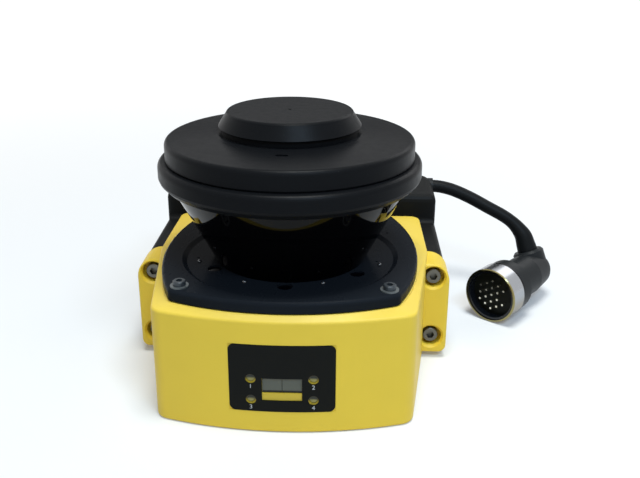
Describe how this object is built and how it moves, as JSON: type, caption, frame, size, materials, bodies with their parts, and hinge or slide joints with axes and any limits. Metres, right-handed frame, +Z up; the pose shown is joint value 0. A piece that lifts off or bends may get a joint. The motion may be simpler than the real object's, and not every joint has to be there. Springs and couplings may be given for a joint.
{
  "type": "safety laser scanner",
  "caption": "Compact safety laser scanner: yellow base with side ears, dark inverted-cone window under a round head, rear connection box, short lead with round multi-pin connector.",
  "frame": {"origin": "point where the scan axis meets the underside of the base", "axes": "+Z up along the scan axis, the labelled front faces -Y, the lead leaves towards +X, and the mounting face of the rear cover faces +Y"},
  "size_m": [0.2072, 0.1689, 0.12],
  "materials": {
    "yellow_coat": "satin powder coat",
    "black_coat": "satin powder coat",
    "black_shell": "fine satin",
    "gloss_plate": "high gloss",
    "window": "polished, infrared-passing black",
    "seal": "matt",
    "screws": "zinc plated",
    "optic_trim": "polished",
    "dome": "clear",
    "black_aluminium": "black anodised",
    "bare_aluminium": "machined",
    "lens": "coated",
    "laser_brass": "turned",
    "board": "solder mask",
    "motor_steel": "drawn",
    "winding": "enamelled copper",
    "magnet": "sintered",
    "mirror": "first surface",
    "digit_grey": "diffuser",
    "lamp": "tinted, unlit",
    "label": "printed film",
    "lead": "satin jacket",
    "connector_black": "moulded",
    "coupling_metal": "polished nickel",
    "pin_metal": "plated"
  },
  "bodies": {
    "scanner": {"base_housing": "yellow_coat", "bottom_cover": "black_coat", "bottom_screws": "screws", "plate_gasket": "seal", "optics_plate": "gloss_plate", "plate_screws": "screws", "plate_washers": "screws", "scan_window": "window", "window_seal": "seal", "sensor_windows": "optic_trim", "sensor_domes": "dome", "head_ring": "black_shell", "head_seal": "seal", "head_cover": "black_shell", "head_screws": "screws", "top_cap": "black_shell", "lens_holder": "black_aluminium", "receiver_lens": "lens", "laser_module": "laser_brass", "receiver_board": "board", "motor_bracket": "bare_aluminium", "bracket_screws": "screws", "motor_can": "motor_steel", "motor_stator": "winding", "bearings": "motor_steel", "encoder_sensor": "connector_black", "main_board": "board", "board_screws": "screws", "display_board": "board", "display_digits": "digit_grey", "status_lamps": "lamp", "front_label": "label", "ear_screws": "screws", "rear_housing": "black_coat", "link_seal": "seal", "link_connector": "connector_black", "rear_cover": "black_coat", "rear_cover_screws": "screws", "terminal_board": "board", "lead_gland": "connector_black", "lead": "lead", "lead_boot": "lead", "connector_hood": "connector_black", "connector_shell": "connector_black", "contact_insert": "connector_black", "contact_pins": "pin_metal"},
    "mirror_rotor": {"rotor_shaft": "motor_steel", "rotor_magnet": "magnet", "encoder_disc": "black_aluminium", "mirror_holder": "black_aluminium", "scan_mirror": "mirror"},
    "coupling": {"coupling_ring": "coupling_metal"}
  },
  "joints": [
    {"name": "mirror_spin", "type": "hinge", "parent": "scanner", "child": "mirror_rotor", "pos_m": [0, 0, 0.0506], "axis": [0, 0, 1], "continuous": true},
    {"name": "coupling_ring_turn", "type": "hinge", "parent": "scanner", "child": "coupling", "pos_m": [0.0975, 0.0475, 0.0142], "axis": [0.6293, 0.7771, 0], "continuous": true}
  ]
}
